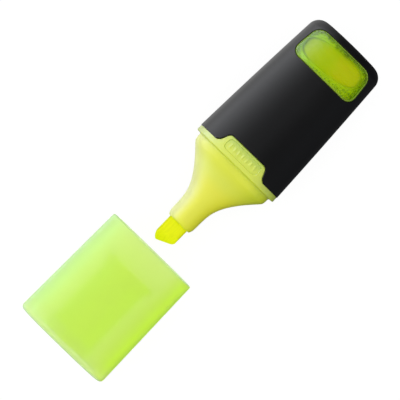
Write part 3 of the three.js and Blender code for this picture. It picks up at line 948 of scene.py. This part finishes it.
def panel_floor(x, y):
    """The panel's floor, with its row of seven short ribs."""
    rib = np.zeros(len(x))
    for i in range(-3, 4):
        reach = np.maximum(np.abs(y - i * RIB_PITCH) / RIB_HALF_Y, np.abs(x - RIB_X) / RIB_HALF_X)
        rib = np.maximum(rib, rise(reach, middle=0.85, width=-0.09))
    return barrel_z(x, y, COLLAR_INSET) - PANEL_DEPTH + RIB_HEIGHT * rib


def make_front():
    rings = [nose_section(x, half_y) for x, half_y in LIP]
    rings += [nose_section(x) for x in np.linspace(-20.1, -2.6, 74)]
    rings += [nose_section(-2.3, LAND_Y), nose_section(COLLAR_FRONT - 0.5, LAND_Y)]
    land = contour(LAND_Y, LAND_Z)
    collar = contour(half_width(COLLAR_FRONT) - COLLAR_INSET, HALF_THICK - COLLAR_INSET)
    for ahead, climb in COLLAR_STEP:
        rings.append(at_x(COLLAR_FRONT - ahead, land + (collar - land) * climb))
    for sine, drop in arc(90, 0, 7):
        x = COLLAR_FRONT + COLLAR_EDGE * (1 - sine)
        rings.append(barrel_section(x, COLLAR_INSET + COLLAR_EDGE * drop))
    rings += [barrel_section(x, COLLAR_INSET) for x in np.linspace(-1.0, 3.22, 16)]
    rings += [barrel_section(x, SKIRT_INSET) for x in (3.22, 4.5, 6.0, SKIRT_END)]
    rings += [section(*row) for row in HOLLOW]
    front = from_rings("nose_and_collar", rings, closed=True)

    # behind the sleeve's rim only the two tabs keep the collar's full size
    trim = box_mesh("trim", (-0.04, -16, -12), (3.5, 16, 12))
    tab = follow(notch_outline(FIT_GAP), COLLAR_INSET, 0.2, -1)
    combine_both(trim, slab("tab_plug", tab))
    core = [barrel_section(x, SKIRT_INSET) for x in np.linspace(-2, 6, 5)]
    combine(trim, from_rings("core", core))
    combine(front, trim)

    panel = resample(with_mirror(PANEL), 0.16)
    normals = outward(panel)
    rings = follow(panel, COLLAR_INSET, 0.14)[:-1]
    rings.append(lay(
        panel - normals * 0.03, lambda x, y: barrel_z(x, y, COLLAR_INSET) - PANEL_DEPTH + 0.03
    ))
    inner = panel - normals * 0.1
    rings.append(lay(inner, panel_floor))
    rings += inward_rings(inner, panel_floor, spine_y=4.6, spine_x=RIB_X, steps=16)
    combine_both(front, slab("recess", rings))
    tidy(front)
    place(front, "pen", "front_section", LIME, sharp=32)


# ------------------------------------------------------------------ nib
# the slanted tip in plan: x, y
TIP = np.array([
    (-8.6, -3.6), (-8.6, 3.6), (-24.9, 3.6), (-25.6, 2.88), (-26.3, 2.66), (-26.9, 2.38),
    (-27.35, 2.02), (-27.66, 1.66), (-27.72, 1.38), (-27.62, 1.06), (-26.16, -2.1),
    (-25.86, -2.5), (-25.5, -2.74), (-25.1, -2.85), (-24.6, -3.6),
])
EDGE_START, EDGE_STOP = TIP[9], TIP[10]  # the straight writing edge
# the chisel's thickness: distance in from the writing edge, z
WEDGE = (
    (-1, -0.28), (0.0, -0.475), (3.1, -1.9), (30, -1.9), (30, 1.9), (3.1, 1.9), (0.0, 0.475),
    (-1, 0.28),
)


def make_nib():
    rings = [section(x, NIB_Y, NIB_Z, NIB_POWER, 96) for x in (-29, -25, -21, -17, -13, -8.7)]
    rings.append(section(-8.6, NIB_Y - 0.1, NIB_Z - 0.1, NIB_POWER, 96))
    nib = from_rings("chisel_nib", rings)
    combine(nib, slab("tip_prism", [level(TIP, z) for z in (-5.0, 5.0)]), "INTERSECT")
    edge = EDGE_STOP - EDGE_START
    edge /= np.linalg.norm(edge)
    inward = np.array([-edge[1], edge[0]])
    rings = [
        np.array([(*(EDGE_START + inward * depth + edge * side), z) for depth, z in WEDGE])
        for side in (-15.0, 15.0)
    ]
    combine(nib, slab("tip_wedge", rings), "INTERSECT")
    mod = nib.modifiers.new("bevel", "BEVEL")
    mod.width = 0.11
    mod.segments = 3
    mod.limit_method = "ANGLE"
    mod.angle_limit = math.radians(22)
    mod.miter_outer = "MITER_ARC"
    bake_modifiers(nib)
    tidy(nib, 0.002)
    place(nib, "pen", "nib", NIB, sharp=30)


# ------------------------------------------------------------------ ink tank
# dark places in the ink: x, y, radius in x, radius in y, depth
DARK_BLOTS = (
    (36.75, 5.2, 0.45, 0.5, 0.5), (36.4, 3.7, 0.3, 0.4, 0.35), (36.15, 2.1, 0.4, 0.55, 0.6),
    (36.2, 0.85, 0.35, 0.4, 0.5), (36.35, -0.8, 0.6, 0.9, 0.5), (29.65, 8.4, 0.35, 0.35, 0.35),
    (30.1, 7.7, 0.25, 0.3, 0.25), (36.3, -7.0, 0.4, 0.45, 0.3), (35.0, -8.3, 0.6, 0.35, 0.35),
)
# the tank's mouth, from its outside round to its inside: x, inset
TANK_MOUTH = (
    (8.1, TANK_INSET + 0.1), (8.0, 1.8), (8.0, 3.15), (4.7, 3.15), (4.7, 2.55), (4.65, 2.5),
    (4.0, 2.5), (3.95, 2.55), (3.95, 4.05), (8.6, 4.05), (8.6, TANK_INSIDE + 0.1),
    (8.7, TANK_INSIDE),
)
BOSS_INSET, BOSS_ROUND = 0.06, 0.24  # the clear block that fills the window
BOSS_SPINE = {"spine_y": 5.5, "spine_x": 33.0}


def rear_dim(x, y):
    """Painted shade on the ink, most along the window's rear edge near the middle, plus the dark
    blots.
    """
    dim = smoothstep((x - 35.2) / 2.2) * (0.12 + 0.5 * bell(y, middle=-2.6, width=3.4))
    for blot_x, blot_y, radius_x, radius_y, depth in DARK_BLOTS:
        dim = dim + depth * bell(x, blot_x, radius_x) * bell(y, blot_y, radius_y)
    return np.minimum(dim, 0.85)


def boss_top(x, y):
    return barrel_z(x, y, BOSS_INSET)


def boss_root(x, y):
    """The middle of the tank's wall, where the window block grows out of it."""
    t = np.clip((np.asarray(x, float) - TANK_BACK + TANK_ROUND) / TANK_ROUND, 0, 0.95)
    inset = TANK_INSET + TANK_WALL / 2 + TANK_ROUND * (1 - np.sqrt(1 - t * t))
    return np.maximum(arch(y, half_width(x) - inset, HALF_THICK - inset), 2.0)


def boss_rings(outline):
    normals = outward(outline)
    inner = outline - normals * BOSS_ROUND
    rings = inward_rings(inner, boss_root, **BOSS_SPINE, steps=20)[::-1]
    rings.append(lay(outline, boss_root))
    for sine, drop in arc(90, 0, 8):
        p = outline - normals * BOSS_ROUND * (1 - sine)
        rings.append(lay(p, lambda x, y: boss_top(x, y) - BOSS_ROUND * drop))
    return rings + inward_rings(inner, boss_top, **BOSS_SPINE, steps=26)


def make_tank():
    # the outside from the rear forwards, the mouth, then the inside
    rings = [
        section(TANK_BACK, 1.5, 1.5, 2.0), section(TANK_BACK, 8.0, 4.7), section(TANK_BACK, 7.7, 5.0)
    ]
    for sine, drop in arc(80, 0, 8):
        x = TANK_BACK - TANK_ROUND + TANK_ROUND * sine
        rings.append(plain_section(x, TANK_INSET + TANK_ROUND * drop))
    rings += [plain_section(x, TANK_INSET) for x in np.linspace(35, 8.3, 12)]
    rings += [barrel_section(x, inset) for x, inset in TANK_MOUTH]
    rings += [plain_section(x, TANK_INSIDE) for x in np.linspace(10, 36.2, 12)]
    rings.append(plain_section(36.9, TANK_INSIDE + 0.35))
    inset = TANK_INSIDE + 0.9
    rings.append(section(37.1, half_width(37) - inset, HALF_THICK - inset))
    rings.append(section(37.1, 1.5, 1.5, 2.0))
    tank = from_rings("clear_tank", rings, closed=True)
    outline = window_outline(FIT_GAP)
    combine_both(tank, slab("boss", boss_rings(outline)), "UNION")
    tidy(tank, 0.003)

    co = vertex_places(tank)
    gap = np.full(len(co), 9.0)  # distance in plan from the block's outline
    for k in np.nonzero((np.abs(co[:, 2]) > 3.0) & (co[:, 0] > 26.5))[0]:
        gap[k] = np.min(np.hypot(outline[:, 0] - co[k, 0], outline[:, 1] - co[k, 1]))
    beyond_side = np.abs(co[:, 1]) - (half_width(co[:, 0]) - 2.3)
    beyond = np.maximum(beyond_side, (co[:, 0] - 36.75) * 0.8)
    set_attributes(
        tank,
        rim=bell(gap, middle=0, width=0.16),
        edge=np.clip(beyond / 0.3, 0, 1) * np.where(co[:, 0] > 26.5, 1, 0),
        dim=rear_dim(co[:, 0], co[:, 1]),
    )
    place(tank, "pen", "ink_tank", CLEAR, sharp=32)


# ------------------------------------------------------------------ ink
BUBBLE_X, BUBBLE_Y, BUBBLE_TURN = 32.78, 0.45, 0.1  # centre, and turn in radians
BUBBLE_HALF_X, BUBBLE_HALF_Y, BUBBLE_POWER = 3.2, 8.05, 2.8
BUBBLE_DEPTH = 1.7
INK_SEG, INK_BACK = 340, 37.0


def bubble_reach(x, y):
    """Distance from the large bubble's centre, 1 on its outline."""
    dx, dy = x - BUBBLE_X, y - BUBBLE_Y
    u = dx * math.cos(BUBBLE_TURN) + dy * math.sin(BUBBLE_TURN)
    w = -dx * math.sin(BUBBLE_TURN) + dy * math.cos(BUBBLE_TURN)
    total = np.abs(u / BUBBLE_HALF_X) ** BUBBLE_POWER + np.abs(w / BUBBLE_HALF_Y) ** BUBBLE_POWER
    return total ** (1 / BUBBLE_POWER)


def froth_amount(x, y):
    """Where the small bubbles gather: the rear edge and the two ends of the window."""
    outside = rise(bubble_reach(x, y), middle=1.12, width=0.04)
    rear = rise(x, middle=35.9, width=0.3)
    ends = np.where(y < 0, 0.8, 0.35) * rise(np.abs(y), middle=5.2, width=0.5)
    return outside * np.clip(0.2 + rear * 0.8 + ends, 0, 1)


def make_ink():
    def round_section(x, radius):
        return section(x, radius, radius, 2.0, INK_SEG)

    def ink_section(x, extra=0.0):
        return plain_section(x, INK_INSET + extra, INK_SEG)

    rings = [round_section(x, r) for x, r in ((36.2, 0.2), (36.2, 1.6), (INK_BACK, 1.6))]
    rings.append(section(INK_BACK, 6.4, 3.4, 2.3, INK_SEG))
    for ahead, extra in ((0, 0.8), (0.04, 0.55), (0.23, 0.23), (0.5, 0.06)):
        rings.append(ink_section(INK_BACK - ahead, extra))
    rings += [ink_section(x) for x in np.linspace(INK_BACK - 0.8, 27.6, 58)]
    rings += [ink_section(x) for x in np.linspace(27.0, 9.0, 16)]
    rings += [ink_section(8.75, 0.08), ink_section(8.7, 0.4)]
    rings += [round_section(x, r) for x, r in ((8.7, 1.65), (14.2, 1.65), (14.3, 0.2))]
    verts, faces = skin(rings)
    # the large bubble is a bowl in the upper face, with a low lip
    verts = np.array(verts)
    reach = bubble_reach(verts[:, 0], verts[:, 1])
    top = (verts[:, 2] > 1.0) & (verts[:, 0] > 20)
    bowl = np.where(reach < 1, BUBBLE_DEPTH * np.clip(1 - reach**2, 0, 1) ** 0.75, 0.0)
    lip = 0.03 * bell(reach, middle=1.05, width=0.035)
    verts[:, 2] = np.where(top, verts[:, 2] - bowl + lip, verts[:, 2])
    ink = build("ink_body", verts.tolist(), faces)

    x, y, z = vertex_places(ink).T
    reach = bubble_reach(x, y)
    upper = np.clip(z / 1.0, 0, 1)
    # the outline shows at the bubble's two ends and melts away along its sides
    ends = smoothstep((np.abs((y - BUBBLE_Y) / BUBBLE_HALF_Y) - 0.35) / 0.45)
    line = bell(reach, middle=1.0, width=0.04) * (0.1 + 0.9 * ends) * np.where(y > 0, 1.0, 0.4)
    set_attributes(
        ink,
        bubble=upper * rise(reach, middle=0.99, width=-(0.085 - 0.06 * ends)),
        rim_line=upper * line,
        froth=upper * froth_amount(x, y),
        dim=upper * rear_dim(x, y),
    )
    place(ink, "pen", "ink_charge", INK, sharp=40)


FROTH_RADII = [0.15, 0.2, 0.26, 0.33, 0.42]
FROTH_SHARES = [0.26, 0.26, 0.24, 0.16, 0.08]


def make_froth():
    """Small bubbles packed against the tank's wall round the large one."""
    rng = np.random.default_rng(11)
    spots = []
    for _ in range(12000):
        x, y = rng.uniform(28.2, 37.4), rng.uniform(-9.4, 9.4)
        reach = float(bubble_reach(x, y))
        r = float(rng.choice(FROTH_RADII, p=FROTH_SHARES))
        beyond_side = abs(y) + r > half_width(x) - INK_INSET - 0.15
        if reach < 1.07 + r / 4.0 or x + r > 36.9 or beyond_side:
            continue
        crowd = 1.0 if (y < -4 or x > 36.0 or (y > 7 and x < 31)) else 0.4
        if rng.uniform() > crowd:
            continue
        if all(
            (x - x2) ** 2 + (y - y2) ** 2 > ((r + r2) * 1.25 + 0.06) ** 2 for x2, y2, r2 in spots
        ):
            spots.append((x, y, r))
        if len(spots) >= 150:
            break
    bm = bmesh.new()
    for x, y, r in spots:
        z = arch(y, half_width(x) - INK_INSET, HALF_THICK - INK_INSET) - r * 0.45
        made = bmesh.ops.create_icosphere(bm, subdivisions=2, radius=r)
        bmesh.ops.scale(bm, vec=(1, 1, 0.8), verts=made["verts"])
        bmesh.ops.translate(bm, vec=(x, y, z), verts=made["verts"])
    mesh = bpy.data.meshes.new("ink_froth")
    bm.to_mesh(mesh)
    bm.free()
    place(link("ink_froth", mesh), "pen", None, FOAM, sharp=60)


# ------------------------------------------------------------------ cap
CAP_CORNER, CAP_BOW = 1.0, 0.12  # rounding and hollow bow of the closed end
CAP_INNER_CORNER, CAP_LIP = 0.7, 0.36
# the ring that holds the liner: x from the cap's closed end, half width, half thickness
SOCKET = (
    (0.7, LINER_RADIUS + 0.1, LINER_RADIUS + 0.1), (0.7, 7.1, 6.98), (4.2, 7.1, 6.98),
    (4.4, 6.9, 6.85), (4.4, LINER_RADIUS + 0.15, LINER_RADIUS + 0.15),
    (4.3, LINER_RADIUS + 0.1, LINER_RADIUS + 0.1),
)


def cap_half(x):
    """The cap's half width, with x from its mouth: it widens to the closed end."""
    return 12.94 + 0.59 * -x / CAP_LENGTH


def cap_section(x, inset):
    return section(CAP_MOUTH + x, cap_half(x) - inset, HALF_THICK - inset)


def end_fill(x, inset, bow, count):
    """Rings over a closed end, from near the middle out to the section drawn in by inset."""
    half_y, half_z = cap_half(x) - inset, HALF_THICK - inset
    return [
        section(CAP_MOUTH + x + bow * s * s, half_y * s, half_z * s) for s in end_scales(count)
    ]


def make_cap():
    rings = end_fill(-CAP_LENGTH, CAP_CORNER, CAP_BOW, 12)
    for sine, drop in arc(84, 0, 10):
        x = -CAP_LENGTH + CAP_BOW + CAP_CORNER - CAP_CORNER * sine
        rings.append(cap_section(x, CAP_CORNER * drop))
    rings += [cap_section(x, 0) for x in np.linspace(-CAP_LENGTH + 1.8, -0.9, 44)]
    # round the mouth's lip and back along the inside
    for sine, drop in arc(0, 165, 10):
        rings.append(cap_section(-CAP_LIP + CAP_LIP * sine, CAP_LIP * drop))
    rings += [cap_section(-0.5, CAP_WALL - 0.25), cap_section(-0.9, CAP_WALL)]
    inner_end = -CAP_LENGTH + CAP_END_WALL
    rings += [cap_section(x, CAP_WALL) for x in np.linspace(-1.6, inner_end + 1.4, 30)]
    for sine, drop in arc(10, 85, 6):
        x = inner_end + CAP_INNER_CORNER - CAP_INNER_CORNER * sine
        rings.append(cap_section(x, CAP_WALL + CAP_INNER_CORNER * drop))
    rings += end_fill(inner_end, CAP_WALL + CAP_INNER_CORNER, 0.0, 8)[::-1]
    cap = from_rings("frosted_cap", rings)
    rings = [section(CAP_CLOSED + x, half_y, half_z, 2.0) for x, half_y, half_z in SOCKET]
    combine(cap, from_rings("socket", rings, closed=True), "UNION")
    tidy(cap, 0.003)
    place(cap, "cap", "cap_shell", CAP)


# ------------------------------------------------------------------ cap liner, x from the mouth
LINER_BACK = -CAP_LENGTH + CAP_END_WALL + 0.13
LINER_FLOOR = LINER_BACK + 0.95
LINER_CORNER = 0.35
LINER_INNER = LINER_RADIUS - LINER_WALL
# the flare at the open end, outside and inside: x, half width, half thickness, power
FLARE = np.array([(-9.9, 6.2, 6.2, 2.0), (-8.6, 6.9, 6.4, 2.1), (-7.3, 7.75, 6.65, 2.3)])
FLARE_INSIDE = np.array([(-10.0, 5.4, 5.4, 2.0), (-8.6, 6.2, 5.75, 2.1), (-7.3, 7.1, 5.96, 2.3)])
FLARE_RIM = ((-7.34, 7.68, 6.6, 2.3), (-7.3, 7.56, 6.5, 2.3), (-7.3, 7.22, 6.08, 2.3))
# the inside with its narrow lip, from front of the flare's root to the closed end: x, radius
LINER_BORE = (
    (-12, LINER_INNER), (-15.6, LINER_INNER), (-16.4, 4.22), (-16.6, 3.99), (-16.7, LINER_LIP),
    (-17.1, LINER_LIP), (-17.2, 3.99), (-17.5, 5.05), (-17.6, LINER_INNER),
)


def make_liner():
    def oblong(x, half_y, half_z, power):
        return section(CAP_MOUTH + x, half_y, half_z, power)

    def circle(x, radius):
        return oblong(x, radius, radius, 2.0)

    def flare(table, start, stop):
        return [
            oblong(x, *[float(pchip(table[:, 0], table[:, k], x)) for k in (1, 2, 3)])
            for x in np.linspace(start, stop, 10)
        ]

    flat = LINER_RADIUS - LINER_CORNER
    rings = [circle(LINER_BACK, flat * s / 0.95) for s in (0.04, 0.3, 0.6, 0.85, 0.95)]
    for sine, drop in arc(75, 0, 5):
        x = LINER_BACK + LINER_CORNER - LINER_CORNER * sine
        rings.append(circle(x, LINER_RADIUS - LINER_CORNER * drop))
    rings += [circle(x, LINER_RADIUS) for x in np.linspace(LINER_BACK + 1.2, -10.6, 24)]
    rings += flare(FLARE, -9.9, -7.45)
    rings += [oblong(*row) for row in FLARE_RIM]
    rings += flare(FLARE_INSIDE, -7.38, -10.0)
    rings += [circle(x, radius) for x, radius in LINER_BORE]
    rings += [circle(x, LINER_INNER) for x in np.linspace(-19, LINER_BACK + 1.35, 8)]
    for rise_x, radius in ((0.05, LINER_INNER - 0.3), (0, LINER_INNER - 0.6), (0, 2.0), (0, 0.3)):
        rings.append(circle(LINER_FLOOR + rise_x, radius))
    liner = from_rings("cap_inner_liner", rings)
    tidy(liner, 0.002)
    place(liner, "cap", "cap_liner", LINER)


# ------------------------------------------------------------------ floor, light and camera
def make_floor():
    """White card: lit by the studio, with some light of its own, as a light table has."""
    bm = bmesh.new()
    bmesh.ops.create_grid(bm, x_segments=8, y_segments=8, size=3.0)
    mesh = bpy.data.meshes.new("floor")
    bm.to_mesh(mesh)
    bm.free()
    floor = link("floor", mesh)
    floor.location = (0, 0, -0.00002)

    albedo = 0.1
    mat = new_material("pale_floor")
    paper = mat.noise(scale=40, detail=2, rough=0.5)
    tone = mat.mix(paper, (albedo * 0.98,) * 3, (albedo,) * 3)
    lit = mat.out("BsdfDiffuse", {"Color": tone})
    seen = mat.sum(lit, mat.emission((1, 1, 1), strength=0.93))
    # other rays see a glow that grows for those arriving from -y
    incoming = mat.add("NewGeometry").outputs["Incoming"]
    away = mat.add("SeparateXYZ", {0: incoming}).outputs["Y"]
    toward = mat.math("MAXIMUM", mat.mul(away, -1.0), 0.0)
    lighting = mat.emission((1, 1, 1), mat.mul_add(toward, 0.15, 0.2))
    mirrored = mat.emission((1, 1, 1), mat.mul_add(toward, 2.1, 0.08))
    ray = mat.add("LightPath").outputs
    other = mat.blend(ray["Is Glossy Ray"], lighting, mirrored)
    direct = mat.math("MAXIMUM", ray["Is Camera Ray"], ray["Is Transmission Ray"])
    floor.data.materials.append(mat.finish(mat.blend(direct, other, seen)))


def make_world():
    """A wide soft dome: its mirrored light is bright at +y, its diffuse light mostly overhead."""
    scene.world = bpy.data.worlds.new("studio")
    dome = Nodes(scene.world)
    direction = dome.axes("Generated")
    side = dome.math("MAXIMUM", direction["Y"], 0.0)
    over = dome.math("MAXIMUM", direction["Z"], 0.0)
    crisp = dome.mul_add(dome.math("POWER", side, 1.45), 4.8, 0.14)
    soft = dome.math("ADD", dome.mul_add(side, 0.08, 0.24), dome.mul(over, 1.02))
    mirrored = dome.out("Background", {"Color": (0.975, 0.99, 1.03), "Strength": crisp})
    lighting = dome.out("Background", {"Color": (1, 1, 1), "Strength": soft})
    seen = dome.out("Background", {"Color": (1, 1, 1), "Strength": 1.0})
    ray = dome.add("LightPath").outputs
    other = dome.blend(ray["Is Glossy Ray"], lighting, mirrored)
    dome.finish(dome.blend(ray["Is Camera Ray"], other, seen), "OutputWorld")


def make_key_light():
    at, target = Vector((-0.05, 0.25, 1.1)), Vector((0, 0, 0.008))
    data = bpy.data.lights.new("key", "AREA")
    data.shape = "RECTANGLE"
    data.size, data.size_y = 0.9, 0.7
    data.energy = 0.6
    key = link("key", data)
    key.location = at
    key.rotation_mode = "QUATERNION"
    key.rotation_quaternion = (target - at).to_track_quat("-Z", "Y")
    key.visible_camera = False
    key.visible_glossy = False  # the dome is what shows in the shine


def make_camera():
    """Looks straight down, turned so that the pen runs from lower left to upper right."""
    angle = math.radians(45.8)
    centre_x, centre_y = -13.4, 0.24  # mm, in the pen's frame
    distance = 0.75  # m above the middle of the pen's thickness
    data = bpy.data.cameras.new("camera")
    data.sensor_width = 36.0
    data.lens = 276.75  # takes in 97.56 mm at that distance
    data.clip_start, data.clip_end = 0.05, 20
    right = Vector((math.cos(angle), -math.sin(angle), 0))
    up = Vector((math.sin(angle), math.cos(angle), 0))
    turn = Matrix((right, up, Vector((0, 0, 1)))).transposed().to_4x4()
    place_at = (pen_x(centre_x), centre_y / 1000, HALF_THICK / 1000 + distance)
    camera = bpy.data.objects.new("camera", data)
    camera.matrix_world = Matrix.Translation(place_at) @ turn
    scene.collection.objects.link(camera)
    scene.camera = camera


make_sleeve()
make_front()
make_nib()
make_tank()
make_ink()
make_froth()
# inner workings that stay as packed, with their own finishes
for node, finish in (
    ("tank_seal", SEAL),
    ("tank_stopper", NATURAL),
    ("feed_buffer", NATURAL),
    ("feed_wick", WICK),
    ("filler_plug", NATURAL),
):
    finish_surface(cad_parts[node], finish, sharp=28)
make_cap()
make_liner()
make_floor()
make_world()
make_key_light()
make_camera()
